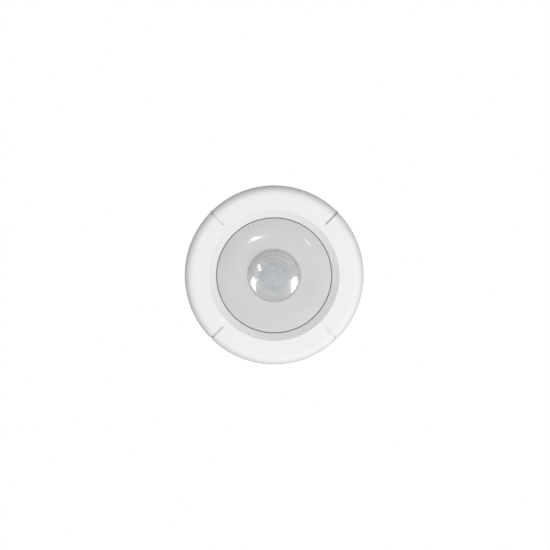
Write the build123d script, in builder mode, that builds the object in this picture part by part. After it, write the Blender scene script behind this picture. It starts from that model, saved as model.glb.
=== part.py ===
"""Ceiling heat detector: a domed infrared lens in a crowned face, a clip-on bezel ring, and a twist-on base.

The frame: z = 0 is the ceiling, +Z points up into it, and the detector hangs below.
The origin is the centre of the base's back face. All sizes are in millimetres.
"""

import os
from math import atan2, cos, degrees, radians, sin, sqrt

from build123d import *

# ---------------------------------------------------------------- overall
overall_diameter = 106.0
base_depth = 13.0
wall = 2.0
joint_gap = 0.5  # shadow line between the base and the head
root = 0.4  # how far a rib runs into the wall it stands on
fit_clearance = 0.3  # between shells that turn or slide past each other
seat_clearance = 0.05  # between a piece and the pocket it is seated in

# ---------------------------------------------------------------- bezel ring
bezel_width = 0.3515 * overall_diameter / 2  # from the outer edge to the central opening
edge_radius = 5.2  # rounding of the outer edge
band_width = 4.3  # countersunk band round the opening
band_drop = 2.7
seam = 0.6  # ring gap between the bezel and the face
groove_length = 10.6  # along the face, from the outer edge
groove_width = 1.0
groove_depth = 1.1
groove_angles = [45, 135, 225, 315]
finger_width = 9.0
finger_gap = 0.15

# ---------------------------------------------------------------- face and lens
crown_rise = 1.8
crown_edge_slope = 0.42  # of the face where it meets the seam
rim_fall = 0.15  # from the crest back up to the lens
rim_slope = 0.03
lens_share = 0.466  # of the face's radius
lens_rise_share = 0.46  # of the lens's radius
lens_wall = 0.9
lens_flange = 2.9
lens_flange_height = 1.0
clamp_width = 3.1  # of the clamp ring outside the lens flange
clamp_height = 1.6
clamp_screw_radius = 0.85
clamp_screw_bite = 1.0  # into the face
clamp_head_radius = 1.5
clamp_head_height = 1.0

# ---------------------------------------------------------------- base
rim_inset = 2.5  # the base is this much smaller in radius than the bezel
floor_thickness = 2.4
back_chamfer = 0.8
rim_lip_reach = 1.5  # the rim's lip lies in a rebate between the plate and the ceiling
rim_lip_height = 1.0
fixing_spacing = 60.0
fixing_slot_length = 14.5
fixing_slot_width = 4.5
grommet_hole_radius = 9.0
cable_radius = 4.5
grommet_flange = 2.0
grommet_flange_thickness = 1.2
grommet_recess = 0.4
grommet_sleeve = 3.2
grommet_lip = 1.0
guard_ring_gap = 0.4  # round the grommet's flange
guard_ring_wall = 2.0
guard_ring_height = 1.6

# ---------------------------------------------------------------- bayonet
ledge_depth = 2.1  # radial reach of the ledges
ledge_height = 2.0
ledge_from_rim = 2.0
ledge_half_angle = 10.0
stop_angle = 2.5
tab_half_angle = 6.0
tab_height = 2.4
tab_offset = 3.5  # the tab's middle is this far round from the ledge's, in degrees
bayonet_angles = [30, 150, 270]
collar_wall = 1.8

# ---------------------------------------------------------------- terminals and contacts
terminal_angles = [45, 135, 225, 315]
terminal_from_collar = 11.2
boss_size = 9.0
boss_height = 3.0
strip_thickness = 0.6
strip_width = 7.0
leaf_drop = 3.1
leaf_run = 3.0
leaf_tip = 5.0
leaf_lift = 0.9  # the turned-up end that the stud rides in under
washer_size = 7.4
washer_corner = 0.8
washer_thickness = 1.0
terminal_screw_radius = 1.5
terminal_screw_grip = 2.6  # of the screw in its boss
terminal_head_radius = 3.0
terminal_head_height = 1.9
stud_arc = 9.0  # along the arc from the terminal screw to the stud
stud_radius = 1.5
stud_flange_radius = 2.4
stud_flange_height = 1.0
stud_round = 0.8
stud_gap = 0.3

# ---------------------------------------------------------------- chassis, board and front housing
plate_thickness = 2.0
plate_inset = 0.6  # the plate's edge stands in from the bezel's
board_post = 1.5
board_notch = (6.0, 3.0)  # where the board is keyed to the housing
board_thickness = 1.6
component_room = 7.6
skirt_inset = 0.8  # bezel wall to housing skirt
skirt_wall = 1.8
board_to_skirt = 2.4
register_height = 2.0
register_wall = 1.5
column_radius = 2.8
column_from_edge = 5.0
column_angles = [90, 210, 330]
assembly_screw_radius = 1.3
assembly_head_radius = 2.5
assembly_head_height = 1.4
head_clearance = 0.2  # round and above a sunk screw head
screw_engagement = 4.5
screw_hole_spare = 0.5  # past the screw's end
pip_reach = 0.4  # alignment pips past the bezel's outline
pip_width = 1.6
pip_round = 0.35

# ---------------------------------------------------------------- pyroelectric sensor
sensor_radius = 4.1
sensor_height = 4.2
header_radius = 4.6
header_height = 0.5
spacer_height = 1.0
window_side = 3.6
window_corner = 0.4
window_thickness = 0.5
key_tab = (1.6, 0.9)  # on the header's edge
lead_radius = 0.23
lead_circle = 2.54
lead_stub = 1.0

# ---------------------------------------------------------------- dials
dial_angles = {"sensitivity": 250, "time": 290}
dial_from_edge = 5.2
dial_shaft_radius = 1.8
dial_head_radius = 3.1
dial_head_height = 1.7
dial_slot_width = 0.9
dial_slot_depth = 0.8
dial_slot_length = 4.4
dial_sink = 0.2  # of the dial's head in the shelf, clear of the bezel
trimmer_size = 7.0
trimmer_gap = 1.6  # from the trimmer to the shelf
trimmer_bore = 3.0
running_clearance = 0.05

# ---------------------------------------------------------------- electronic parts
tall_part_gap = 0.6  # from the tallest parts to the shelf's level
relay_size = (9.0, 16.0)
film_capacitor_size = (6.0, 13.0)
storage_capacitor_radius = 4.0
varistor_radius = 4.5
varistor_height = 3.4
controller_size = (7.0, 7.0, 1.4)
amplifier_size = (3.9, 8.7, 1.4)
chip_stand = 0.1  # of a chip's body off the board
pin_reach = 1.0
pin_width = 0.35
pin_thickness = 0.3
led_radius = 1.5
led_flange_radius = 1.9
led_flange_height = 0.8
led_stem = 3.0
thermistor_radius = 1.3
component_gap = 5.0  # from the clamp ring to the middle of the ring of parts

# ---------------------------------------------------------------- what follows from the sizes above
outer_radius = overall_diameter / 2
opening_radius = outer_radius - bezel_width
face_radius = opening_radius - seam
band_radius = opening_radius + band_width

plate_top = -(base_depth + joint_gap)
plate_low = plate_top - plate_thickness
board_top = plate_low - board_post
board_low = board_top - board_thickness
ledge_inside = board_low - component_room  # the shelf that the bezel covers
ledge_outside = ledge_inside - wall
lip_top = ledge_outside - fit_clearance
seam_level = lip_top - wall
bezel_face = seam_level - band_drop
bezel_top = plate_low - fit_clearance
lens_radius = lens_share * face_radius
lens_rise = lens_rise_share * lens_radius
flange_radius = lens_radius + lens_flange
clamp_radius = flange_radius + clamp_width
crest_radius = clamp_radius + 0.1 * (face_radius - clamp_radius)
crest_level = seam_level - crown_rise
rim_level = crest_level + rim_fall
seat_level = rim_level + wall

lens_hole_radius = lens_radius + seat_clearance
clamp_top = seat_level + lens_flange_height + clamp_height
lens_sphere = (lens_radius**2 + lens_rise**2) / (2 * lens_rise)
lens_tip = rim_level - lens_rise

base_radius = outer_radius - rim_inset
base_inside = base_radius - wall
bezel_inside = outer_radius - wall
skirt_radius = bezel_inside - skirt_inset
skirt_inside = skirt_radius - skirt_wall
board_radius = skirt_inside - board_to_skirt
collar_radius = base_inside - ledge_depth - fit_clearance
collar_inside = collar_radius - collar_wall
ledge_top = -(base_depth - ledge_from_rim - ledge_height)
tab_low = ledge_top + fit_clearance
tab_top = tab_low + tab_height

terminal_radius = collar_inside - terminal_from_collar
pad_top = -(floor_thickness + boss_height)
pad_low = pad_top - strip_thickness
washer_low = pad_low - washer_thickness
leaf_low = pad_low - leaf_drop
stud_top = leaf_low - stud_gap
stud_angle = degrees(stud_arc / terminal_radius)

column_ring = board_radius - column_from_edge
dial_ring = board_radius - dial_from_edge
component_ring = clamp_radius + component_gap
tall_part = component_room - tall_part_gap
rebate_radius = base_inside - rim_lip_reach


def save(part, name):
    """Labels one finished piece and writes it as one STEP file."""
    part.label = name
    export_step(part, f"parts/{name}.step")


def polar(radius, angle):
    """The point at this radius and angle in the XY plane."""
    return (radius * cos(radians(angle)), radius * sin(radians(angle)))


def turned(radius, angle, level=0.0):
    """A location at this radius and angle, with its X axis pointing outwards."""
    x, y = polar(radius, angle)
    return Location((x, y, level), (0, 0, angle))


def ring_of(radius, angles, level=0.0):
    """The same location at each of these angles."""
    return [turned(radius, angle, level) for angle in angles]


def arc_rib(inner, outer, low, high, start, sweep):
    """A rib with a rectangular section, swept round Z from the start angle."""
    with BuildSketch(Plane.XZ.rotated((0, 0, start))) as section:
        with Locations(((inner + outer) / 2, (low + high) / 2)):
            Rectangle(outer - inner, high - low)
    revolve(section.sketch, axis=Axis.Z, revolution_arc=sweep)


def cross_recess(length, width, depth, side):
    """The cross-shaped recess of a screw head, cut from the current location."""
    Box(length, width, depth, align=side, mode=Mode.SUBTRACT)
    Box(width, length, depth, align=side, mode=Mode.SUBTRACT)


UP = (Align.CENTER, Align.CENTER, Align.MIN)  # a solid that rises from its location
DOWN = (Align.CENTER, Align.CENTER, Align.MAX)  # a solid that hangs from its location


os.makedirs("parts", exist_ok=True)

# ================================================================ base
# The back plate, with a slot each side for the fixing screws and a boss under each terminal.
with BuildPart() as base_plate:
    with BuildSketch(Plane.XZ):
        with BuildLine():
            Polyline(
                (0, 0),
                (rebate_radius - seat_clearance, 0),
                (rebate_radius - seat_clearance, -rim_lip_height - seat_clearance),
                (base_inside - seat_clearance, -rim_lip_height - seat_clearance),
                (base_inside - seat_clearance, -floor_thickness),
                (0, -floor_thickness),
                close=True,
            )
        make_face()
    revolve(axis=Axis.Z)
    with BuildSketch(Plane.XY):
        Circle(grommet_hole_radius)
        with Locations((-fixing_spacing / 2, 0), (fixing_spacing / 2, 0)):
            SlotOverall(fixing_slot_length, fixing_slot_width)
    extrude(amount=-floor_thickness, mode=Mode.SUBTRACT)
    # a guard ring round the cable entry
    guard_inside = grommet_hole_radius + grommet_flange + guard_ring_gap
    with BuildSketch(Plane.XY.offset(-floor_thickness)):
        Circle(guard_inside + guard_ring_wall)
        Circle(guard_inside, mode=Mode.SUBTRACT)
    extrude(amount=-guard_ring_height)
    with Locations(*ring_of(terminal_radius, terminal_angles, -floor_thickness)):
        Box(boss_size, boss_size, boss_height, align=DOWN)
    with Locations(*ring_of(terminal_radius, terminal_angles, pad_top)):
        Cylinder(
            terminal_screw_radius + seat_clearance,
            terminal_screw_grip + screw_hole_spare,
            align=UP,
            mode=Mode.SUBTRACT,
        )
save(base_plate.part, "base_plate")

# The rim: a lip that the plate holds against the ceiling, the outer wall, and the bayonet ledges inside it.
with BuildPart() as base_rim:
    with BuildSketch(Plane.XZ):
        with BuildLine():
            Polyline(
                (rebate_radius, 0),
                (base_radius - back_chamfer, 0),
                (base_radius, -back_chamfer),
                (base_radius, -base_depth),
                (base_inside, -base_depth),
                (base_inside, -rim_lip_height),
                (rebate_radius, -rim_lip_height),
                close=True,
            )
        make_face()
    revolve(axis=Axis.Z)
    ledge_low = ledge_top - ledge_height
    for angle in bayonet_angles:
        arc_rib(
            base_inside - ledge_depth,
            base_inside + root,
            ledge_low,
            ledge_top,
            angle - ledge_half_angle,
            2 * ledge_half_angle,
        )
        # the stop at the ledge's locked end
        arc_rib(
            base_inside - ledge_depth,
            base_inside + root,
            ledge_low,
            tab_top,
            angle + ledge_half_angle,
            stop_angle,
        )
save(base_rim.part, "base_rim")

# The rubber grommet that the cable comes in through.
grommet_radius = grommet_hole_radius - seat_clearance
flange_low = -floor_thickness - grommet_flange_thickness
sleeve_low = -floor_thickness - grommet_sleeve
with BuildPart() as cable_grommet:
    with BuildSketch(Plane.XZ):
        with BuildLine():
            Polyline(
                (cable_radius, -grommet_recess),
                (grommet_radius, -grommet_recess),
                (grommet_radius, -floor_thickness),
                (grommet_hole_radius + grommet_flange, -floor_thickness),
                (grommet_hole_radius + grommet_flange, flange_low),
                (cable_radius + 2 * grommet_lip, flange_low),
                (cable_radius + grommet_lip, sleeve_low),
                (cable_radius, sleeve_low),
                close=True,
            )
        make_face()
    revolve(axis=Axis.Z)
save(cable_grommet.part, "cable_grommet")

# Terminal strips: a flat pad under the screw and a sprung leaf that the head's stud slides under.
pad_start = -boss_size / 2
leaf_start = washer_size / 2 + 0.5
tip_start = leaf_start + leaf_run
tip_end = tip_start + leaf_tip
leaf_top = leaf_low + strip_thickness
bend = strip_thickness / 2  # how far a bend's outside corner trails its inside one
with BuildPart() as terminal_contacts:
    for angle in terminal_angles:
        side = Plane(
            origin=(*polar(terminal_radius, angle), 0),
            x_dir=(*polar(1, angle + 90), 0),
            z_dir=(*polar(1, angle), 0),
        )
        with BuildSketch(side):
            with BuildLine():
                Polyline(
                    (pad_start, pad_top),
                    (leaf_start, pad_top),
                    (tip_start, leaf_top),
                    (tip_end, leaf_top),
                    (tip_end + leaf_lift + bend, leaf_top + leaf_lift),
                    (tip_end + leaf_lift + 2 * bend, leaf_low + leaf_lift + bend / 2),
                    (tip_end + bend / 2, leaf_low),
                    (tip_start - bend, leaf_low),
                    (leaf_start - bend, pad_low),
                    (pad_start, pad_low),
                    close=True,
                )
            make_face()
        extrude(amount=strip_width / 2, both=True)
    with Locations(*ring_of(terminal_radius, terminal_angles, pad_low)):
        Cylinder(
            terminal_screw_radius + seat_clearance,
            strip_thickness,
            align=UP,
            mode=Mode.SUBTRACT,
        )
save(terminal_contacts.part, "terminal_contacts")

# Square clamp washers that hold the wires.
with BuildPart() as clamp_washers:
    with BuildSketch(Plane.XY.offset(pad_low)):
        with Locations(*ring_of(terminal_radius, terminal_angles)):
            RectangleRounded(washer_size, washer_size, washer_corner)
            Circle(terminal_screw_radius + seat_clearance, mode=Mode.SUBTRACT)
    extrude(amount=-washer_thickness)
save(clamp_washers.part, "clamp_washers")

# Terminal screws with a pan head and a cross recess.
with BuildPart() as terminal_screws:
    with Locations(*ring_of(terminal_radius, terminal_angles, washer_low)):
        Cylinder(terminal_head_radius, terminal_head_height, align=DOWN)
    chamfer(terminal_screws.edges().group_by(Axis.Z)[0], terminal_head_height / 4)
    with Locations(*ring_of(terminal_radius, terminal_angles, washer_low)):
        Cylinder(terminal_screw_radius, pad_top - washer_low + terminal_screw_grip, align=UP)
    with Locations(*ring_of(terminal_radius, terminal_angles, washer_low - terminal_head_height)):
        cross_recess(1.2 * terminal_head_radius, 0.8, 1.1, UP)
save(terminal_screws.part, "terminal_screws")

# ================================================================ head: chassis
# The plate that closes the head's back, with an alignment pip at each of the bezel's grooves.
stud_angles = [angle + stud_angle for angle in terminal_angles]
chassis_radius = outer_radius - plate_inset
with BuildPart() as rear_chassis:
    with BuildSketch(Plane.XY.offset(plate_top)):
        Circle(chassis_radius)
        with Locations(*ring_of(chassis_radius, groove_angles)):
            RectangleRounded(2 * (plate_inset + pip_reach), pip_width, pip_round)
    extrude(amount=-plate_thickness)
    # the ring that registers the front housing
    with BuildSketch(Plane.XY.offset(plate_low)):
        Circle(skirt_inside - 2 * seat_clearance)
        Circle(skirt_inside - 2 * seat_clearance - register_wall, mode=Mode.SUBTRACT)
    extrude(amount=-register_height)
    # the posts that the board sits on, three of them round the screws
    with Locations(*ring_of(column_ring, column_angles, plate_low)):
        Cylinder(column_radius + root, board_post, align=DOWN)
    with PolarLocations(column_ring, 3, start_angle=column_angles[0] + 60):
        with Locations((0, 0, plate_low)):
            Cylinder(column_radius - root, board_post, align=DOWN)
    with Locations(*ring_of(column_ring, column_angles, plate_top)):
        CounterBoreHole(
            assembly_screw_radius + head_clearance,
            assembly_head_radius + head_clearance,
            assembly_head_height + head_clearance,
            depth=plate_thickness + board_post,
        )
    with Locations(*ring_of(terminal_radius, stud_angles, plate_top)):
        Hole(stud_radius + seat_clearance, depth=plate_thickness)
save(rear_chassis.part, "rear_chassis")

# The bayonet collar on the plate's back, with a tab that rides on each of the rim's ledges.
with BuildPart() as bayonet_collar:
    with BuildSketch(Plane.XY.offset(plate_top)):
        Circle(collar_radius)
        Circle(collar_inside, mode=Mode.SUBTRACT)
    extrude(amount=tab_top - plate_top)
    for angle in bayonet_angles:
        arc_rib(
            collar_radius - root,
            base_inside - fit_clearance,
            tab_low,
            tab_top,
            angle + tab_offset - tab_half_angle,
            2 * tab_half_angle,
        )
save(bayonet_collar.part, "bayonet_collar")

# Contact studs: each slides under a terminal leaf as the head is twisted on.
with BuildPart() as contact_studs:
    with Locations(*ring_of(terminal_radius, stud_angles, board_top)):
        Cylinder(stud_radius, stud_top - board_top, align=UP)
    with Locations(*ring_of(terminal_radius, stud_angles, plate_top)):
        Cylinder(stud_flange_radius, stud_flange_height, align=UP)
    fillet(contact_studs.edges().group_by(Axis.Z)[-1], stud_round)
save(contact_studs.part, "contact_studs")

# ================================================================ head: circuit board
header_top = board_low - spacer_height
lead_angles = [0, 90, 180]
with BuildPart() as circuit_board:
    with BuildSketch(Plane.XY.offset(board_low)):
        Circle(board_radius)
        with Locations(*ring_of(column_ring, column_angles)):
            Circle(assembly_screw_radius + head_clearance, mode=Mode.SUBTRACT)
        with Locations(*ring_of(lead_circle, lead_angles)):
            Circle(lead_radius + seat_clearance, mode=Mode.SUBTRACT)
        with Locations((0, board_radius)):
            Rectangle(*board_notch, mode=Mode.SUBTRACT)
    extrude(amount=board_thickness)
save(circuit_board.part, "circuit_board")

# ================================================================ head: front housing
# One moulding: the crowned face, a step up to the shelf that the bezel covers, and the skirt.
step_inside = face_radius - wall
clamp_screw_ring = flange_radius + clamp_width / 2
with BuildPart() as front_housing:
    with BuildSketch(Plane.XZ):
        with BuildLine():
            Polyline(
                (lens_hole_radius, rim_level),
                (lens_hole_radius, seat_level),
                (clamp_radius + root, seat_level),
                (step_inside, seam_level + 0.8 * wall),
                (step_inside, ledge_inside),
                (skirt_inside, ledge_inside),
                (skirt_inside, plate_low),
                (skirt_radius, plate_low),
                (skirt_radius, ledge_outside),
                (face_radius, ledge_outside),
                (face_radius, seam_level),
            )
            Spline(
                (face_radius, seam_level),
                (crest_radius, crest_level),
                (lens_hole_radius, rim_level),
                tangents=((-1.0, -crown_edge_slope), (-1.0, rim_slope)),
            )
        make_face()
    revolve(axis=Axis.Z)
    # columns that clamp the board against the chassis posts
    with Locations(*ring_of(column_ring, column_angles, board_low)):
        Cylinder(column_radius, component_room + root, align=DOWN)
        Cylinder(
            assembly_screw_radius,
            screw_engagement + screw_hole_spare,
            align=DOWN,
            mode=Mode.SUBTRACT,
        )
    # pilot holes for the clamp ring's screws, and holes over the dials
    with PolarLocations(clamp_screw_ring, 3):
        with Locations((0, 0, seat_level)):
            Cylinder(
                clamp_screw_radius + seat_clearance,
                clamp_screw_bite + seat_clearance,
                align=DOWN,
                mode=Mode.SUBTRACT,
            )
    with Locations(*ring_of(dial_ring, dial_angles.values(), ledge_inside)):
        Cylinder(dial_head_radius + fit_clearance, wall, align=DOWN, mode=Mode.SUBTRACT)
save(front_housing.part, "front_housing")

# Three screws hold chassis, board and front housing together.
head_low = plate_top - assembly_head_height - head_clearance
with BuildPart() as assembly_screws:
    with Locations(*ring_of(column_ring, column_angles, head_low)):
        Cylinder(assembly_head_radius, assembly_head_height, align=UP)
        Cylinder(
            assembly_screw_radius - seat_clearance,
            head_low - board_low + screw_engagement,
            align=DOWN,
        )
    chamfer(assembly_screws.edges().group_by(Axis.Z)[-1], assembly_head_height / 5)
    with Locations(*ring_of(column_ring, column_angles, head_low + assembly_head_height)):
        cross_recess(1.2 * assembly_head_radius, 0.7, 0.9, DOWN)
save(assembly_screws.part, "assembly_screws")

# ================================================================ head: lens
# A thin domed shell with a flange that the clamp ring holds against the face's seat.
inner_sphere = lens_sphere - lens_wall
centre_level = lens_tip + lens_sphere
inner_radius_at_rim = sqrt(inner_sphere**2 - (centre_level - rim_level) ** 2)
flange_top = seat_level + lens_flange_height
half_angle = degrees(atan2(lens_radius, centre_level - rim_level)) / 2
outer_mid = (
    lens_sphere * sin(radians(half_angle)),
    centre_level - lens_sphere * cos(radians(half_angle)),
)
inner_mid = (
    inner_sphere * sin(radians(half_angle)),
    centre_level - inner_sphere * cos(radians(half_angle)),
)
with BuildPart() as lens_dome:
    with BuildSketch(Plane.XZ):
        with BuildLine():
            ThreePointArc((0, lens_tip), outer_mid, (lens_radius, rim_level))
            Polyline(
                (lens_radius, rim_level),
                (lens_radius, seat_level),
                (flange_radius, seat_level),
                (flange_radius, flange_top),
                (inner_radius_at_rim, flange_top),
                (inner_radius_at_rim, rim_level),
            )
            ThreePointArc((inner_radius_at_rim, rim_level), inner_mid, (0, lens_tip + lens_wall))
            Line((0, lens_tip + lens_wall), (0, lens_tip))
        make_face()
    revolve(axis=Axis.Z)
save(lens_dome.part, "lens_dome")

# The ring that holds the lens flange down on the back of the face, and its three screws.
with BuildPart() as lens_clamp_ring:
    with BuildSketch(Plane.XZ):
        with BuildLine():
            Polyline(
                (inner_radius_at_rim, flange_top),
                (flange_radius + seat_clearance, flange_top),
                (flange_radius + seat_clearance, seat_level),
                (clamp_radius, seat_level),
                (clamp_radius, clamp_top),
                (inner_radius_at_rim, clamp_top),
                close=True,
            )
        make_face()
    revolve(axis=Axis.Z)
    with PolarLocations(clamp_screw_ring, 3):
        with Locations((0, 0, clamp_top)):
            Hole(clamp_screw_radius + seat_clearance, depth=clamp_top - seat_level)
save(lens_clamp_ring.part, "lens_clamp_ring")

with BuildPart() as clamp_screws:
    with PolarLocations(clamp_screw_ring, 3):
        with Locations((0, 0, clamp_top)):
            Cylinder(clamp_head_radius, clamp_head_height, align=UP)
            Cylinder(clamp_screw_radius, clamp_top - seat_level + clamp_screw_bite, align=DOWN)
    fillet(clamp_screws.edges().group_by(Axis.Z)[-1], clamp_head_height / 3)
save(clamp_screws.part, "clamp_screws")

# ================================================================ head: pyroelectric sensor
# A spacer, a metal can with a square window in its end, and three leads through the board.
with BuildPart() as sensor_spacer:
    with BuildSketch(Plane.XY.offset(board_low)):
        Circle(sensor_radius)
        with Locations(*ring_of(lead_circle, lead_angles)):
            Circle(lead_radius + seat_clearance, mode=Mode.SUBTRACT)
    extrude(amount=-spacer_height)
save(sensor_spacer.part, "sensor_spacer")

can_low = header_top - header_height - sensor_height
with BuildPart() as sensor_can:
    with BuildSketch(Plane.XY.offset(header_top)):
        Circle(header_radius)
        with Locations((header_radius, 0)):
            Rectangle(*key_tab)
    extrude(amount=-header_height)
    with Locations((0, 0, header_top - header_height)):
        Cylinder(sensor_radius, sensor_height, align=DOWN)
    fillet(sensor_can.edges().group_by(Axis.Z)[0], header_height)
    with BuildSketch(Plane.XY.offset(can_low)):
        RectangleRounded(window_side, window_side, window_corner)
    extrude(amount=window_thickness, mode=Mode.SUBTRACT)
save(sensor_can.part, "sensor_can")

window_side_fitted = window_side - 2 * seat_clearance
with BuildPart() as sensor_window:
    with BuildSketch(Plane.XY.offset(can_low + window_thickness)):
        RectangleRounded(window_side_fitted, window_side_fitted, window_corner - seat_clearance)
    extrude(amount=-window_thickness + 2 * seat_clearance)
save(sensor_window.part, "sensor_window")

with BuildPart() as sensor_leads:
    with Locations(*ring_of(lead_circle, lead_angles, header_top)):
        Cylinder(lead_radius, board_top + lead_stub - header_top, align=UP)
save(sensor_leads.part, "sensor_leads")

# ================================================================ head: electronics on the board
# The indicator and the thermistor stand beside the sensor, where the lens shows them.
with BuildPart() as status_led:
    with Locations(turned(2.4 * sensor_radius, 207, board_low)):
        Cylinder(led_flange_radius, led_flange_height, align=DOWN)
        Cylinder(led_radius, led_stem, align=DOWN)
        with Locations((0, 0, -led_stem)):
            Sphere(led_radius)
save(status_led.part, "status_led")

with BuildPart() as thermistor:
    with Locations(turned(2.4 * sensor_radius, 31, board_low - thermistor_radius)):
        Sphere(thermistor_radius)
        with Locations((-0.5, 0, 0), (0.5, 0, 0)):
            Cylinder(lead_radius, thermistor_radius, align=UP)
save(thermistor.part, "thermistor")

with BuildPart() as relay:
    with Locations(turned(component_ring, 136, board_low)):
        Box(*relay_size, tall_part, align=DOWN)
    fillet(relay.edges().group_by(Axis.Z)[0], 0.5)
save(relay.part, "relay")

with BuildPart() as film_capacitor:
    with Locations(turned(component_ring, 30, board_low)):
        Box(*film_capacitor_size, tall_part, align=DOWN)
    fillet(film_capacitor.edges().group_by(Axis.Z)[0], 0.6)
save(film_capacitor.part, "film_capacitor")

with BuildPart() as storage_capacitors:
    with Locations(*ring_of(component_ring, (176, 203), board_low)):
        Cylinder(storage_capacitor_radius, tall_part, align=DOWN)
    fillet(storage_capacitors.edges().group_by(Axis.Z)[0], 0.5)
save(storage_capacitors.part, "storage_capacitors")

with BuildPart() as varistor:
    with Locations(turned(component_ring, 62, board_low)):
        Cylinder(varistor_radius, varistor_height, align=DOWN)
    fillet(varistor.edges().group_by(Axis.Z)[0], 1.2)
save(varistor.part, "varistor")


def chip_body(place, size):
    """A chip's moulded body, standing just off the board."""
    with Locations(place * Location((0, 0, -chip_stand))):
        Box(*size, align=DOWN)


def chip_pins(place, body_width, count, pitch):
    """Flat pins along both long sides of a chip, which lie along its local Y."""
    for side in (-1, 1):
        with Locations(place * Location((side * (body_width + pin_reach) / 2, 0, 0))):
            with GridLocations(0, pitch, 1, count):
                Box(pin_reach, pin_width, pin_thickness, align=DOWN)


controller_place = turned(component_ring, 330, board_low)
with BuildPart() as microcontroller:
    chip_body(controller_place, controller_size)
    chamfer(microcontroller.edges().group_by(Axis.Z)[0], 2 * chip_stand)
save(microcontroller.part, "microcontroller")

with BuildPart() as microcontroller_pins:
    chip_pins(controller_place, controller_size[0], 8, 0.8)
save(microcontroller_pins.part, "microcontroller_pins")

amplifier_place = turned(component_ring, 0, board_low)
with BuildPart() as amplifier_chip:
    chip_body(amplifier_place, amplifier_size)
    chamfer(amplifier_chip.edges().group_by(Axis.Z)[0], 2 * chip_stand)
save(amplifier_chip.part, "amplifier_chip")

with BuildPart() as amplifier_pins:
    chip_pins(amplifier_place, amplifier_size[0], 7, 1.27)
save(amplifier_pins.part, "amplifier_pins")

# ================================================================ dials
# Each trimmer is a square body with a bored end; its dial turns in the bore and shows through the shelf.
trimmer_low = ledge_inside + trimmer_gap
with BuildPart() as trimmers:
    with BuildSketch(Plane.XY.offset(board_low)):
        with Locations(*ring_of(dial_ring, dial_angles.values())):
            RectangleRounded(trimmer_size, trimmer_size, 0.6)
    extrude(amount=trimmer_low - board_low)
    with Locations(*ring_of(dial_ring, dial_angles.values(), trimmer_low)):
        Cylinder(
            dial_shaft_radius + running_clearance,
            trimmer_bore,
            align=UP,
            mode=Mode.SUBTRACT,
        )
save(trimmers.part, "trimmers")

dial_low = ledge_outside + dial_sink
shaft_top = trimmer_low + trimmer_bore - 4 * running_clearance
for dial_name, angle in dial_angles.items():
    with BuildPart() as dial:
        with Locations(turned(dial_ring, angle, dial_low)):
            Cylinder(dial_head_radius, dial_head_height, align=UP)
            Cylinder(dial_shaft_radius, shaft_top - dial_low, align=UP)
        chamfer(dial.edges().group_by(Axis.Z)[0], 0.3)
        with Locations(turned(dial_ring, angle, dial_low)):
            Box(dial_slot_length, dial_slot_width, dial_slot_depth, align=UP, mode=Mode.SUBTRACT)
    save(dial.part, f"{dial_name}_dial")

# ================================================================ bezel ring
# A white ring with a rounded outer edge, a countersunk band and four radial grooves.
arc_centre = (outer_radius - edge_radius, bezel_face + edge_radius)
groove_start = outer_radius - groove_length


def edge_arc(radius):
    """A quarter circle of this radius round the centre of the rounded edge, from its face to its side."""
    return CenterArc(arc_centre, radius, -90, 90)


with BuildPart() as bezel_ring:
    with BuildSketch(Plane.XZ):
        with BuildLine():
            Line((opening_radius, seam_level), (band_radius, bezel_face))
            Line((band_radius, bezel_face), (arc_centre[0], bezel_face))
            edge_arc(edge_radius)
            Polyline(
                (outer_radius, arc_centre[1]),
                (outer_radius, bezel_top),
                (bezel_inside, bezel_top),
                (bezel_inside, arc_centre[1]),
            )
            edge_arc(edge_radius - wall)
            Polyline(
                (arc_centre[0], bezel_face + wall),
                (band_radius + 0.4 * wall, bezel_face + wall),
                (opening_radius + 0.8 * wall, lip_top),
                (opening_radius, lip_top),
                (opening_radius, seam_level),
            )
        make_face()
    revolve(axis=Axis.Z)
    # clip fingers that grip the housing's skirt, one behind each groove
    finger_face = skirt_radius + finger_gap
    finger_half = degrees(finger_width / 2 / finger_face)
    for angle in groove_angles:
        arc_rib(
            finger_face,
            bezel_inside + root,
            ledge_inside,
            bezel_top - groove_depth,
            angle - finger_half,
            2 * finger_half,
        )
    # grooves: a radial slot in the face that runs over the edge and up the side
    for angle in groove_angles:
        with BuildSketch(Plane.XZ.rotated((0, 0, angle))):
            with BuildLine():
                Polyline(
                    (arc_centre[0], bezel_face + groove_depth),
                    (groove_start + groove_depth, bezel_face + groove_depth),
                    (groove_start, bezel_face),
                    (groove_start, bezel_face - 1),
                    (outer_radius + 1, bezel_face - 1),
                    (outer_radius + 1, bezel_top),
                    (outer_radius - groove_depth, bezel_top),
                    (outer_radius - groove_depth, arc_centre[1]),
                )
                edge_arc(edge_radius - groove_depth)
            make_face()
        extrude(amount=groove_width / 2, both=True, mode=Mode.SUBTRACT)
save(bezel_ring.part, "bezel_ring")
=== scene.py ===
from math import asin, cos, pi, radians, sin, sqrt

import bmesh
import bpy
import numpy as np
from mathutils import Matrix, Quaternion, Vector


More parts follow.
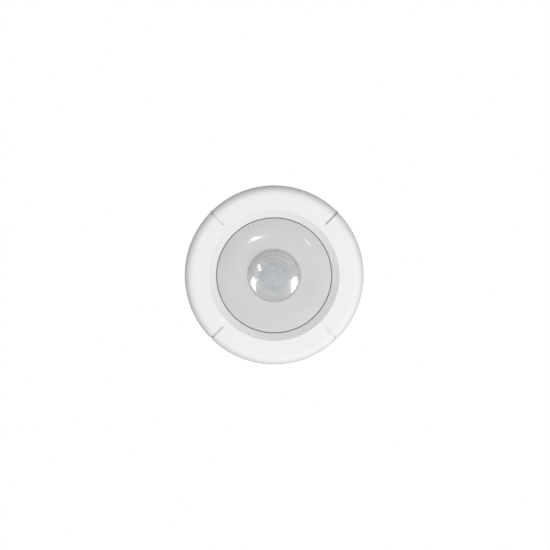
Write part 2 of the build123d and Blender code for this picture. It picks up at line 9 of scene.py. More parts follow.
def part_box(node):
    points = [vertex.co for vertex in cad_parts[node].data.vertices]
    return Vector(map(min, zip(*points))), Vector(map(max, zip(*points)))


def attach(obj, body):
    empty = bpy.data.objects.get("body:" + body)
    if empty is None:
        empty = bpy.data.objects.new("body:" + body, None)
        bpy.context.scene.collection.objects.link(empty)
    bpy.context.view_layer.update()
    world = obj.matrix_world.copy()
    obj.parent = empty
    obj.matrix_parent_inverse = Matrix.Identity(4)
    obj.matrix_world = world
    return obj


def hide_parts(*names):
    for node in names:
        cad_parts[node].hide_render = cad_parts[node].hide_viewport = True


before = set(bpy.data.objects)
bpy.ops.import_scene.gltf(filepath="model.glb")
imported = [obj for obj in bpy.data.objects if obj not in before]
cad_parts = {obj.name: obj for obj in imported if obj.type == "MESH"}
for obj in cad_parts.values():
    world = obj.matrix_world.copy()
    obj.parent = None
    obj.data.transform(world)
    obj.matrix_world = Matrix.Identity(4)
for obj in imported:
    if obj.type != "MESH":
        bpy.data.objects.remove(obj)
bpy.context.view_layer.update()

bl_info = {
    "name": "Ceiling heat detector",
    "version": (1, 0, 0),
    "blender": (4, 5, 0),
    "location": "3D View > Sidebar > Detector",
    "description": "Builds the surfaces and finishes of a ceiling heat detector round its packed frame",
    "category": "Object",
}

# The frame: metres, z = 0 is the ceiling, +Z points up into it, and the lens looks down.
MM = 0.001
BEZEL_LOW, BEZEL_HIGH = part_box("bezel_ring")
HOUSING_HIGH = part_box("front_housing")[1]
LENS_LOW, LENS_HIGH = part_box("lens_dome")
RIM_LOW, RIM_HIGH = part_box("base_rim")
GROMMET_LOW, GROMMET_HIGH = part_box("cable_grommet")
BOARD_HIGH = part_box("circuit_board")[1]

# Sizes that the neighbouring parts fix, which aren't in the sidebar.
LENS_FLANGE = 2.9 * MM  # beyond the dome
LENS_FLANGE_HEIGHT = 1.0 * MM
LENS_NECK = 3.0 * MM  # from the flange's back to the dome's rim
FACE_CREST, FACE_EDGE = 23.0 * MM, 33.8 * MM
FACE_EDGE_SLOPE = 0.42
GROOVE_ANGLES = np.radians([45, 135, 225, 315])
FINGER_LENGTH = 10.7 * MM  # of each clip finger, down from the housing's top
FINGER_WIDTH = 9.0 * MM
FINGER_GAP = 0.15 * MM
RIM_LIP, RIM_LIP_HEIGHT = 1.5 * MM, 1.0 * MM
LEDGE_ANGLES = np.radians([30, 150, 270])
LEDGE_HALF_ANGLE = radians(10)
LEDGE_DEPTH, LEDGE_HEIGHT, LEDGE_FROM_RIM = 2.1 * MM, 2.0 * MM, 2.0 * MM
STOP_ANGLE, STOP_RISE = radians(2.5), 2.7 * MM  # the stop stands at the ledge's end, and this much above it
RIB_ROOT = 0.4 * MM  # how far a rib runs into the wall it stands on
CABLE_RADIUS = 4.5 * MM
PLATE_THICKNESS = 2.4 * MM
GROMMET_FLANGE, GROMMET_FLANGE_THICKNESS = 2.05 * MM, 1.2 * MM
SOLDER_RADIUS, SOLDER_HEIGHT = 0.75 * MM, 0.8 * MM
LEAD_CIRCLE = 2.54 * MM  # the radius that the sensor's leads stand on
LEAD_ANGLES = np.radians([0, 90, 180])

# How much painted shade darkens the bezel's colour, from 0 to 1: per groove, darkening only the two that lie
# across the light from the lower right, and as a thin even layer on the countersunk band.
GROOVE_SHADE = np.array([0.0, 0.45, 0.0, 0.2])
BAND_SHADE = 0.13


def linear(hex_colour):
    """An sRGB hex colour as linear red, green, blue and alpha."""
    parts = np.array([int(hex_colour[i : i + 2], 16) for i in (1, 3, 5)]) / 255
    low = parts / 12.92
    high = ((parts + 0.055) / 1.055) ** 2.4
    return (*np.where(parts <= 0.04045, low, high).tolist(), 1.0)


# ---------------------------------------------------------------- what a user would change
def length(name, description, default):
    """A size in metres for the sidebar."""
    return bpy.props.FloatProperty(
        name=name,
        description=description,
        default=default,
        min=0.0,
        max=1.0,
        precision=5,
        subtype="DISTANCE",
        unit="LENGTH",
    )


def colour(name, description, hex_colour):
    """A colour for the sidebar, given as sRGB hex."""
    return bpy.props.FloatVectorProperty(
        name=name,
        description=description,
        default=linear(hex_colour),
        min=0.0,
        max=1.0,
        size=4,
        subtype="COLOR",
    )


class DetectorSizes(bpy.types.PropertyGroup):
    bezel_radius: length("Bezel radius", "Outer radius of the bezel ring", BEZEL_HIGH[0])
    bezel_edge: length("Edge rounding", "Radius of the bezel's outer edge", 5.2 * MM)
    bezel_wall: length("Bezel wall", "Thickness of the bezel's moulding", 2.0 * MM)
    opening_share: bpy.props.FloatProperty(
        name="Opening share",
        description="Radius of the bezel's opening as a share of its outer radius",
        default=0.6485,
        min=0.3,
        max=0.9,
        subtype="FACTOR",
    )
    band_width: length("Band width", "Width of the countersunk band round the opening", 4.3 * MM)
    band_drop: length("Band depth", "Depth of the countersunk band", 2.7 * MM)
    groove_width: length("Groove width", "Width of each radial groove", 1.0 * MM)
    groove_depth: length("Groove depth", "Depth of each radial groove", 1.1 * MM)
    groove_length: length("Groove length", "Length of each groove along the face", 10.6 * MM)
    edge_break: length("Edge break", "Radius of the small mould radii on corners", 0.25 * MM)
    lens_wall: length("Lens wall", "Thickness of the lens shell", 0.9 * MM)
    facet_relief: length("Facet relief", "Height of the Fresnel steps inside the lens", 0.16 * MM)


class DetectorColours(bpy.types.PropertyGroup):
    bezel: colour("Bezel", "Glossy white ABS", "#F3F3F3")
    face: colour("Face", "Smooth light grey ABS", "#D3D3D5")
    base: colour("Base", "Fine-textured white ABS", "#EDEDEA")
    lens: colour("Lens", "Milky polyethylene", "#EEEEF0")
    lens_middle: colour("Lens middle", "Where the sensor behind shows through", "#D7E0E6")
    board: colour("Board", "Solder mask over the laminate", "#1C6B3A")
    dials: colour("Dials", "White dial plastic", "#E8E6DC")


# ---------------------------------------------------------------- surfaces as whole arrays
def rounded(corners, steps=6):
    """A closed outline whose corners are filleted.

    Each corner is r, z and a radius. The arc starts and ends radius / tan(half the corner's angle) from the
    corner, and its points are the spherical blend of the two spokes from the fillet's centre.
    """
    corners = np.asarray(corners, float)
    here = corners[:, :2]
    radius = np.maximum(corners[:, 2], 1e-6)[:, None]
    back = np.roll(here, 1, axis=0) - here
    ahead = np.roll(here, -1, axis=0) - here
    back /= np.linalg.norm(back, axis=1, keepdims=True)
    ahead /= np.linalg.norm(ahead, axis=1, keepdims=True)
    corner = np.arccos(np.clip((back * ahead).sum(axis=1, keepdims=True), -1, 1))
    reach = radius / np.tan(corner / 2)
    middle = back + ahead
    middle /= np.linalg.norm(middle, axis=1, keepdims=True)
    centre = here + middle * radius / np.sin(corner / 2)
    first = here + back * reach - centre
    last = here + ahead * reach - centre
    turn = (pi - corner)[:, :, None]
    share = np.linspace(0, 1, steps)[None, :, None]
    arc = (np.sin((1 - share) * turn) * first[:, None] + np.sin(share * turn) * last[:, None]) / np.sin(turn)
    return (centre[:, None] + arc).reshape(-1, 2)


def subdivided(outline, spacing):
    """The closed outline with extra points, so that none is further than spacing from the next."""
    loop = np.vstack([outline, outline[:1]])
    along = np.concatenate([[0], np.cumsum(np.linalg.norm(np.diff(loop, axis=0), axis=1))])
    places = np.unique(np.concatenate([along, np.arange(0, along[-1], spacing)]))[:-1]
    return np.stack([np.interp(places, along, loop[:, axis]) for axis in (0, 1)], axis=1)


def outward(outline):
    """The outline's unit normals, by central differences, pointing out of the closed loop."""
    along = np.roll(outline, -1, axis=0) - np.roll(outline, 1, axis=0)
    normal = np.stack([along[:, 1], -along[:, 0]], axis=1)
    normal /= np.linalg.norm(normal, axis=1, keepdims=True)
    after = np.roll(outline, -1, axis=0)
    area = (outline[:, 0] * after[:, 1] - after[:, 0] * outline[:, 1]).sum()
    return normal if area > 0 else -normal


def grid_faces(rows, columns, wrap_rows=True):
    """Quads between neighbouring rows and columns of a grid of points, whose columns always wrap round."""
    row = np.arange(rows if wrap_rows else rows - 1)[:, None]
    column = np.arange(columns)[None, :]
    next_row, next_column = (row + 1) % rows, (column + 1) % columns
    quads = [row * columns + column, row * columns + next_column]
    quads += [next_row * columns + next_column, next_row * columns + column]
    return np.stack([np.broadcast_to(q, (row.size, column.size)) for q in quads], axis=-1).reshape(-1, 4)


def carried(r, z, angle):
    """A grid of points from radius, height and angle: r cos(angle), r sin(angle), z."""
    r, z, angle = np.broadcast_arrays(r, z, angle)
    return np.stack([r * np.cos(angle), r * np.sin(angle), z], axis=-1)


def revolved(outline, columns):
    """A closed ring: every outline point r, z carried round Z in equal steps."""
    angle = np.linspace(0, 2 * pi, columns, endpoint=False)
    points = carried(outline[:, :1], outline[:, 1:], angle)
    return points.reshape(-1, 3), grid_faces(len(outline), columns)


def arc_block(inner, outer, low, high, start, end, soft=0.2 * MM, steps=17):
    """A rib with a rounded rectangular section swept from one angle to another.

    Both ends are closed by shrinking the section to its middle point.
    """
    corners = [(inner, low, soft), (outer, low, soft), (outer, high, soft), (inner, high, soft)]
    section = rounded(corners, 4)
    middle = section.mean(axis=0)
    scale = np.concatenate([[0], np.ones(steps), [0]])
    angle = np.concatenate([[start], np.linspace(start, end, steps), [end]])
    place = middle + (section - middle) * scale[:, None, None]
    points = carried(place[..., 0], place[..., 1], angle[:, None])
    return points.reshape(-1, 3), grid_faces(len(angle), len(section), wrap_rows=False)


def joined(*parts):
    """Several shapes, each points and faces, as one."""
    points, faces = zip(*parts)
    starts = np.cumsum([0] + [len(each) for each in points[:-1]])
    return np.concatenate(points), np.concatenate([each + start for each, start in zip(faces, starts)])


def add_piece(name, shape, material, body, replaced=(), sharp=40, values=None):
    """Puts a surface into a mesh object that rides on a body, with its material.

    Points that meet at a pole or a closed end are merged, and then each closed part is turned to face out.
    """
    points, faces = shape
    mesh = bpy.data.meshes.new(name)
    mesh.from_pydata(points.tolist(), [], faces.tolist())
    for key, numbers in (values or {}).items():
        mesh.attributes.new(key, "FLOAT", "POINT").data.foreach_set("value", numbers.astype(np.float32))
    shell = bmesh.new()
    shell.from_mesh(mesh)
    bmesh.ops.remove_doubles(shell, verts=shell.verts, dist=0.0001 * MM)
    bmesh.ops.recalc_face_normals(shell, faces=shell.faces)
    shell.to_mesh(mesh)
    shell.free()
    mesh.shade_smooth()
    mesh.set_sharp_from_angle(angle=radians(sharp))
    mesh.materials.append(material)
    piece = bpy.data.objects.new(name, mesh)
    bpy.context.scene.collection.objects.link(piece)
    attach(piece, body)
    if replaced:
        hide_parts(*replaced)
    return piece


# ---------------------------------------------------------------- materials
BLACK = (0.0, 0.0, 0.0, 1.0)
WHITE = (1.0, 1.0, 1.0, 1.0)
FIRST, SECOND, MIXED = 6, 7, 2  # a Mix node's sockets for colours, whose names its other sockets share


def new_material(name):
    """An empty node material: the material, its tree and its shader."""
    material = bpy.data.materials.new(name)
    material.use_nodes = True
    tree = material.node_tree
    return material, tree, tree.nodes["Principled BSDF"]


def feed(node, inputs):
    """Gives each named input of a node a value or a link."""
    for key, value in inputs.items():
        if isinstance(value, bpy.types.NodeSocket):
            node.id_data.links.new(value, node.inputs[key])
        else:
            node.inputs[key].default_value = value


def add(tree, kind, output, inputs=None, **settings):
    """Adds one node with its settings and links, and gives the named output."""
    node = tree.nodes.new(kind)
    for key, value in settings.items():
        setattr(node, key, value)
    feed(node, inputs or {})
    return node.outputs[output]


def per_mm(size):
    """A texture's scale for features of this size in millimetres, on coordinates in metres."""
    return 1000.0 / size


def shade(tone, share):
    """The tone made darker or lighter by this share."""
    return (*[min(1.0, part * share) for part in tone[:3]], 1.0)


def wandering(tree, size, low, high, detail=3.0, roughness=0.5, start=0.3, end=0.7, place=None):
    """A number that wanders from low to high over patches of this size in millimetres on the piece itself."""
    place = place or add(tree, "ShaderNodeTexCoord", "Object")
    inputs = {"Vector": place, "Scale": per_mm(size), "Detail": detail, "Roughness": roughness}
    wave = add(tree, "ShaderNodeTexNoise", "Fac", inputs)
    inputs = {"Value": wave, "From Min": start, "From Max": end, "To Min": low, "To Max": high}
    return add(tree, "ShaderNodeMapRange", "Result", inputs)


def mottled(tree, size, first, second, most=1.0, **patches):
    """The first tone with patches of the second, which shows by at most this share."""
    share = wandering(tree, size, 0.0, most, **patches)
    inputs = {"Factor": share, FIRST: first, SECOND: second}
    return add(tree, "ShaderNodeMix", MIXED, inputs, data_type="RGBA")


def uneven(tree, *layers, under=None, place=None):
    """A normal for an uneven skin.

    Each layer is a patch size and a depth in millimetres, and how detailed its patches are.
    """
    for size, depth, patches in layers:
        height = wandering(tree, size, 0.0, 1.0, **patches, start=0.0, end=1.0, place=place)
        inputs = {"Height": height, "Distance": depth * MM}
        if under:
            inputs["Normal"] = under
        under = add(tree, "ShaderNodeBump", "Normal", inputs)
    return under


def gloss_abs(name, tone):
    """ABS, injection moulded in a polished tool: an even white with a soft, slightly wavy gloss.

    The skin has a shallow orange peel and faint cloudy handling marks that dull the gloss. A point attribute
    paints shade into the colour, darkening it towards 0.45 of the tone: in the two grooves that lie across
    the light from the lower right, and as a thin layer on the countersunk band.
    """
    material, tree, shader = new_material(name)
    cloud = {"detail": 2.0}
    peel = {"detail": 2.0, "roughness": 0.4}
    speck = {"detail": 2.0, "roughness": 0.6}
    clean = mottled(tree, 22, shade(tone, 0.985), tone, **cloud)
    specked = mottled(tree, 0.8, clean, shade(tone, 0.93), most=0.5, start=0.62, end=0.75, **speck)
    # Painted shade: the attribute darkens the colour in the grooves and on the countersunk band.
    painted_shade = add(tree, "ShaderNodeAttribute", "Fac", attribute_name="painted_shade")
    shade_mix = {"Factor": painted_shade, FIRST: specked, SECOND: shade(tone, 0.45)}
    inputs = {
        "Base Color": add(tree, "ShaderNodeMix", MIXED, shade_mix, data_type="RGBA"),
        "Roughness": wandering(tree, 22, 0.27, 0.31, **cloud),
        "IOR": 1.53,
        "Normal": uneven(tree, (2.2, 0.004, peel), (0.8, 0.0005, speck)),
    }
    feed(shader, inputs)
    return material


def smooth_abs(name, tone):
    """ABS, injection moulded in a fine-stoned tool: smooth enough to mirror a window, with a faint grain."""
    material, tree, shader = new_material(name)
    grain = {"detail": 2.0, "roughness": 0.7}
    inputs = {
        "Base Color": mottled(tree, 18, shade(tone, 0.975), shade(tone, 1.01)),
        "Roughness": wandering(tree, 0.25, 0.06, 0.1, **grain),
        "IOR": 1.53,
        "Normal": uneven(tree, (9, 0.001, {"detail": 1.0}), (0.25, 0.0001, grain)),
    }
    feed(shader, inputs)
    return material


def textured_abs(name, tone):
    """ABS, injection moulded in a spark-eroded tool: matt, with its leathery grain drawn coarser to show."""
    material, tree, shader = new_material(name)
    inputs = {"Vector": add(tree, "ShaderNodeTexCoord", "Object"), "Scale": per_mm(0.55)}
    grain = add(tree, "ShaderNodeTexVoronoi", "Distance", inputs, feature="SMOOTH_F1")
    dulled = {"Value": grain, "From Min": 0.1, "From Max": 0.7, "To Min": 0.42, "To Max": 0.58}
    inputs = {
        "Base Color": mottled(tree, 20, shade(tone, 0.96), tone, detail=4.0),
        "Roughness": add(tree, "ShaderNodeMapRange", "Result", dulled),
        "IOR": 1.53,
        "Normal": add(tree, "ShaderNodeBump", "Normal", {"Height": grain, "Distance": 0.02 * MM}),
    }
    feed(shader, inputs)
    return material


def milky_polyethylene(name, tone, middle_tone):
    """High-density polyethylene, moulded thin: milky, glossy outside, with its Fresnel steps showing through.

    The attributes say where the colour is darkened. Border is 0 along the facets' borders, where the wall is
    thin; step is the phase of the Fresnel steps, with a share of its own for each facet. Darkening along both
    is painted shade of the steps. Middle is 1 where a darker, bluish tone is painted: the shade of the
    sensor's dark well behind the lens.
    """
    material, tree, shader = new_material(name)
    middle = add(tree, "ShaderNodeAttribute", "Fac", attribute_name="middle")
    plain = mottled(tree, 3, shade(tone, 0.95), shade(tone, 1.03))
    # Painted shade: a darker, bluish tone where the sensor's dark well lies behind the lens.
    well_shade = mottled(tree, 3, shade(middle_tone, 0.93), shade(middle_tone, 1.05))
    tinted = {"Factor": middle, FIRST: plain, SECOND: well_shade}
    shown = add(tree, "ShaderNodeMix", MIXED, tinted, data_type="RGBA")
    # Painted shade: the colour is darkened along the Fresnel steps and along the facets' borders.
    for key, darkest in (("step", 0.86), ("border", 0.74)):
        phase = add(tree, "ShaderNodeAttribute", "Fac", attribute_name=key)
        light = add(tree, "ShaderNodeMapRange", "Result", {"Value": phase, "To Min": darkest})
        darkened = {"Factor": light, FIRST: BLACK, SECOND: shown}
        shown = add(tree, "ShaderNodeMix", MIXED, darkened, data_type="RGBA")
    inputs = {
        "Base Color": shown,
        "Roughness": 0.32,
        "IOR": 1.54,
        "Subsurface Weight": 0.8,
        "Subsurface Radius": (1.0, 1.0, 1.0),
        "Subsurface Scale": 6 * MM,
        "Transmission Weight": add(tree, "ShaderNodeMapRange", "Result", {"Value": middle, "To Max": 0.08}),
        "Coat Weight": 1.0,
        "Coat Roughness": 0.05,
        "Coat IOR": 1.54,
        "Normal": uneven(tree, (3, 0.002, {"detail": 2.0})),
    }
    feed(shader, inputs)
    return material


def nitrile_rubber(name, tone):
    """Nitrile rubber, compression moulded: black and matt, with a pale bloom and a fine pitted skin."""
    material, tree, shader = new_material(name)
    bloom = {"detail": 5.0, "roughness": 0.6}
    inputs = {
        "Base Color": mottled(tree, 3, tone, shade(tone, 2.2), start=0.4, end=0.8, **bloom),
        "Roughness": wandering(tree, 3, 0.6, 0.8, **bloom),
        "IOR": 1.52,
        "Normal": uneven(tree, (0.3, 0.01, {"detail": 2.0})),
    }
    feed(shader, inputs)
    return material


def plated_metal(name, tone, rough, streak=(1.0, 1.0, 1.0)):
    """Metal, rolled or turned: bright, with fine marks along one direction and duller handled patches."""
    material, tree, shader = new_material(name)
    place = add(tree, "ShaderNodeTexCoord", "Object")
    along = add(tree, "ShaderNodeMapping", "Vector", {"Vector": place, "Scale": streak})
    inputs = {
        "Base Color": mottled(tree, 2.5, shade(tone, 0.8), tone),
        "Metallic": 1.0,
        "Roughness": wandering(tree, 0.35, rough, rough + 0.15, place=along),
        "Normal": uneven(tree, (0.35, 0.004, {}), place=along),
    }
    feed(shader, inputs)
    return material


def solder_mask(name, tone):
    """Glass-epoxy laminate under green solder mask: copper tracks stand up under it as paler bands."""
    material, tree, shader = new_material(name)
    place = add(tree, "ShaderNodeTexCoord", "Object")
    inputs = {"Vector": place, "Scale": per_mm(26), "Mortar Size": 0.012, "Mortar Smooth": 0.1}
    inputs |= {"Color1": BLACK, "Color2": BLACK, "Mortar": WHITE}
    tracks = add(tree, "ShaderNodeTexBrick", "Color", inputs, offset=0.35, squash=0.6, squash_frequency=3)
    weave = {"detail": 2.0}
    laminate = mottled(tree, 0.6, shade(tone, 0.85), tone, **weave)
    over_tracks = {"Factor": tracks, FIRST: laminate, SECOND: shade(tone, 1.7)}
    raised = add(tree, "ShaderNodeBump", "Normal", {"Height": tracks, "Distance": 0.035 * MM})
    inputs = {
        "Base Color": add(tree, "ShaderNodeMix", MIXED, over_tracks, data_type="RGBA"),
        "Roughness": wandering(tree, 0.6, 0.25, 0.38, **weave),
        "Normal": uneven(tree, (0.6, 0.004, weave), under=raised),
    }
    feed(shader, inputs)
    return material


def moulded_epoxy(name, tone, rough, grain=0.4, clear=0.0):
    """Epoxy, nylon or polyester, moulded or dipped: a slightly uneven skin, matt on chips and wet on dips."""
    material, tree, shader = new_material(name)
    inputs = {
        "Base Color": mottled(tree, 3.5, shade(tone, 0.85), shade(tone, 1.1)),
        "Roughness": wandering(tree, grain, rough, rough + 0.12),
        "IOR": 1.56,
        "Transmission Weight": clear,
        "Normal": uneven(tree, (grain, 0.008, {})),
    }
    feed(shader, inputs)
    return material


def coated_silicon(name, tone):
    """Silicon, polished, with an infrared coating: nearly black, with a violet gloss that varies a little."""
    material, tree, shader = new_material(name)
    band_shade = {"detail": 2.0}
    inputs = {
        "Base Color": mottled(tree, 1.5, tone, shade(tone, 2.0), **band_shade),
        "Roughness": wandering(tree, 1.5, 0.05, 0.12, **band_shade),
        "IOR": 3.4,
    }
    feed(shader, inputs)
    return material


def finish_nodes(material, *nodes):
    """Gives CAD nodes this material in their own slots."""
    for node in nodes:
        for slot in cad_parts[node].material_slots:
            slot.material = material


# ---------------------------------------------------------------- operators
class DETECTOR_OT_bezel(bpy.types.Operator):
    """Builds the bezel ring: rounded edge, countersunk band, four grooves and four clip fingers"""

    bl_idname = "detector.bezel"
    bl_label = "Bezel ring"

    def execute(self, context):
        sizes, colours = context.scene.detector_sizes, context.scene.detector_colours
        face, top = BEZEL_LOW[2], BEZEL_HIGH[2]
        outer, wall, edge = sizes.bezel_radius, sizes.bezel_wall, sizes.bezel_edge
        opening = outer * sizes.opening_share
        band = opening + sizes.band_width
        seam = face + sizes.band_drop
        small = sizes.edge_break
        corners = [
            (opening, seam, small),
            (band, face, small),
            (outer, face, edge),
            (outer, top, small),
            (outer - wall, top, small),
            (outer - wall, face + wall, edge - wall),
            (band + 0.4 * wall, face + wall, small),
            (opening + 0.8 * wall, seam + wall, small),
            (opening, seam + wall, small),
        ]
        outline = subdivided(rounded(corners, 14), 0.4 * MM)
        normal_r, normal_z = np.hsplit(outward(outline), 2)
        r, z = np.hsplit(outline, 2)

        # Across a groove the columns keep their distance in millimetres, so that its walls are parallel.
        half, soft = sizes.groove_width / 2, 0.12 * MM
        across = half + soft * np.linspace(-1, 1, 5)
        near = np.concatenate([-across[::-1], np.linspace(-0.6, 0.6, 3) * half, across])
        wide = np.radians(np.linspace(2.5, 87.5, 52))
        quarter = np.concatenate([np.zeros(len(near)), wide])
        grooves = len(GROOVE_ANGLES)
        offset = np.tile(np.concatenate([near, np.zeros(len(wide))]), grooves)
        angle = (GROOVE_ANGLES[:, None] + quarter).ravel() + np.arcsin(offset / r)

        # Depth: a trapezoid across, and a ramp as long as it is deep at the inner end.
        inside = np.tile(quarter == 0, grooves)
        step = np.clip((half + soft - np.abs(offset)) / (2 * soft), 0, 1)
        flat = inside * step * step * (3 - 2 * step)
        ramp = np.clip((r - (outer - sizes.groove_length)) / sizes.groove_depth, 0, 1)
        outside = (normal_r > -0.3) & (normal_z < 0.3)
        share = flat * ramp * outside
        depth = sizes.groove_depth * share
        points = carried(r - normal_r * depth, z - normal_z * depth, angle)
        ring = points.reshape(-1, 3), grid_faces(*angle.shape)

        finger_low, finger_high = HOUSING_HIGH[2] - FINGER_LENGTH, top - sizes.groove_depth
        finger_face = HOUSING_HIGH[0] + FINGER_GAP
        turn = FINGER_WIDTH / 2 / finger_face
        fingers = [
            arc_block(finger_face, outer - 0.8 * wall, finger_low, finger_high, start - turn, start + turn)
            for start in GROOVE_ANGLES
        ]
        shape = joined(ring, *fingers)
        # Painted shade for the grooves and the countersunk band, handed to the material as a point attribute.
        painted_shade = np.repeat(GROOVE_SHADE, len(quarter)) * share
        band_shade = BAND_SHADE * ((r < band) & (normal_z < -0.3))
        shade_share = np.zeros(len(shape[0]))
        shade_share[: painted_shade.size] = np.maximum(painted_shade, band_shade).ravel()
        material = gloss_abs("gloss_moulded_abs", tuple(colours.bezel))
        shade_values = {"painted_shade": shade_share}
        add_piece("bezel_shell", shape, material, "bezel", ["bezel_ring"], 50, shade_values)
        return {"FINISHED"}


RING_EDGES = np.radians([0, 9, 19.5, 29, 37, 44, 50.5])  # polar angles between the rings of facets
RING_FACETS = np.array([1, 6, 9, 12, 15, 18])
RING_TURN = 0.37  # radians that each ring is turned past the last, so that the borders don't line up
STEP_ANGLE = radians(3.0)
RIM_BORDER, FLANK_BORDER = radians(1.6), radians(0.7)


def facet_wall(polar, azimuth):
    """How thick the lens is at each point, from 0 to 1, and how far it is from a facet's border, from 0 to 1.

    The dome is cut into rings of facets by polar angle, and each ring into equal sectors. A facet is a
    Fresnel lens about its own middle: its steps are the square of the distance from there, cut back to zero
    at each whole step. Each facet has its own thickness, the fraction of a large multiple of a sine.
    The borders are cut deeper towards +Y, as the sine of the azimuth. Because the lens's colour is darkened
    along them, this paints shade on the side away from the light from the lower right.
    """
    ring = np.clip(np.searchsorted(RING_EDGES, polar, side="right") - 1, 0, len(RING_FACETS) - 1)
    central = ring == 0
    inner_edge, outer_edge = RING_EDGES[ring], RING_EDGES[ring + 1]
    sector = 2 * pi / RING_FACETS[ring]
    shifted = azimuth + ring * RING_TURN
    place = np.where(central, 0, np.floor(shifted / sector))
    middle = np.where(central, 0.0, (inner_edge + outer_edge) / 2)
    side = np.where(central, 0.0, (shifted - (place + 0.5) * sector) * np.sin(middle))
    steps = (side**2 + (polar - middle) ** 2) / STEP_ANGLE**2
    number = ring * 7.13 + place * 3.71
    own = np.sin(number * 12.9898) * 43758.5453 % 1.0
    rim = np.where(central, outer_edge - polar, np.minimum(polar - inner_edge, outer_edge - polar))
    flank = np.where(central, 1.0, sector / 2 * np.sin(middle) - np.abs(side))
    clear = np.clip(np.minimum(np.abs(rim) / RIM_BORDER, np.abs(flank) / FLANK_BORDER), 0, 1)
    # The border number also darkens the lens's colour, as painted shade that is deeper towards +Y.
    return 0.5 * own + 0.5 * (1 - steps % 1.0), 1 - (1 - clear) * (0.6 + 0.4 * np.sin(azimuth))


class DETECTOR_OT_lens(bpy.types.Operator):
    """Builds the lens: a smooth dome outside, Fresnel facets inside, and its clamping flange"""

    bl_idname = "detector.lens"
    bl_label = "Fresnel lens"

    well_edge = 10.6 * MM  # how far out the painted shade of the sensor's dark well reaches, fading over well_blur
    well_blur = 2.5 * MM

    def execute(self, context):
        sizes, colours = context.scene.detector_sizes, context.scene.detector_colours
        tip, flange_top = LENS_LOW[2], LENS_HIGH[2]
        flange = LENS_HIGH[0]
        radius = flange - LENS_FLANGE
        seat = flange_top - LENS_FLANGE_HEIGHT
        rim = flange_top - LENS_NECK
        rise = rim - tip
        ball = (radius**2 + rise**2) / (2 * rise)
        centre = tip + ball
        widest = asin(radius / ball)

        # Outside: an arc from the pole to the rim, the neck, the flange, and back in to the inner rim.
        rows_outside, rows_inside, columns = 110, 132, 360
        polar_out = np.linspace(0, widest, rows_outside)
        outer = np.stack([ball * np.sin(polar_out), centre - ball * np.cos(polar_out)], axis=1)
        inner_ball = ball - sizes.lens_wall
        inner_widest = np.arccos((centre - rim) / inner_ball)
        inner_radius = inner_ball * sin(inner_widest)
        soft = 0.1 * MM
        neck = np.array(
            [
                (radius, seat),
                (flange - soft, seat),
                (flange, seat + soft),
                (flange, flange_top),
                (inner_radius, flange_top),
            ]
        )
        polar_in = np.linspace(inner_widest, 0, rows_inside)
        azimuth = np.linspace(0, 2 * pi, columns, endpoint=False)
        step, border = facet_wall(polar_in[:, None], azimuth)
        inside = inner_ball - sizes.facet_relief * step * border
        inner_r = inside * np.sin(polar_in)[:, None]
        inner_z = centre - inside * np.cos(polar_in)[:, None]
        outside = np.repeat(np.vstack([outer, neck])[:, :, None], columns, axis=2)
        shell_r = np.vstack([outside[:, 0], inner_r])
        shell_z = np.vstack([outside[:, 1], inner_z])
        points = carried(shell_r, shell_z, azimuth)

        # The same facet pattern as an attribute, on the outside too, for the painted shade of the facets and
        # of the sensor's well seen through the milky wall.
        step_out, border_out = facet_wall(polar_out[:, None], azimuth)
        plain = np.ones((len(neck), columns))
        well_shade = np.clip((self.well_edge - shell_r) / self.well_blur, 0, 1)
        values = {
            "step": np.vstack([step_out, plain, step]).ravel(),
            "border": np.vstack([border_out, plain, border]).ravel(),
            "middle": well_shade.ravel(),
        }
        tones = tuple(colours.lens), tuple(colours.lens_middle)
        material = milky_polyethylene("milky_moulded_polyethylene", *tones)
        shape = points.reshape(-1, 3), grid_faces(len(shell_r), columns, wrap_rows=False)
        add_piece("lens_shell", shape, material, "head", ["lens_dome"], 60, values)
        return {"FINISHED"}


class DETECTOR_OT_face(bpy.types.Operator):
    """Finishes the grey face, the chassis, the dials and the screws"""

    bl_idname = "detector.face"
    bl_label = "Face and dials"

    def execute(self, context):
        colours = context.scene.detector_colours
        finish_nodes(smooth_abs("smooth_moulded_abs", tuple(colours.face)), "front_housing")
        finish_nodes(smooth_abs("dial_moulded_abs", tuple(colours.dials)), "sensitivity_dial", "time_dial")
        textured = textured_abs("chassis_textured_abs", tuple(colours.base))
        finish_nodes(textured, "rear_chassis", "bayonet_collar")
        black = moulded_epoxy("black_moulded_nylon", linear("#1E1E1F"), 0.45)
        finish_nodes(black, "lens_clamp_ring")
        steel = plated_metal("zinc_plated_steel", linear("#B9BBBD"), 0.28)
        finish_nodes(steel, "clamp_screws", "assembly_screws", "terminal_screws", "clamp_washers")
        return {"FINISHED"}


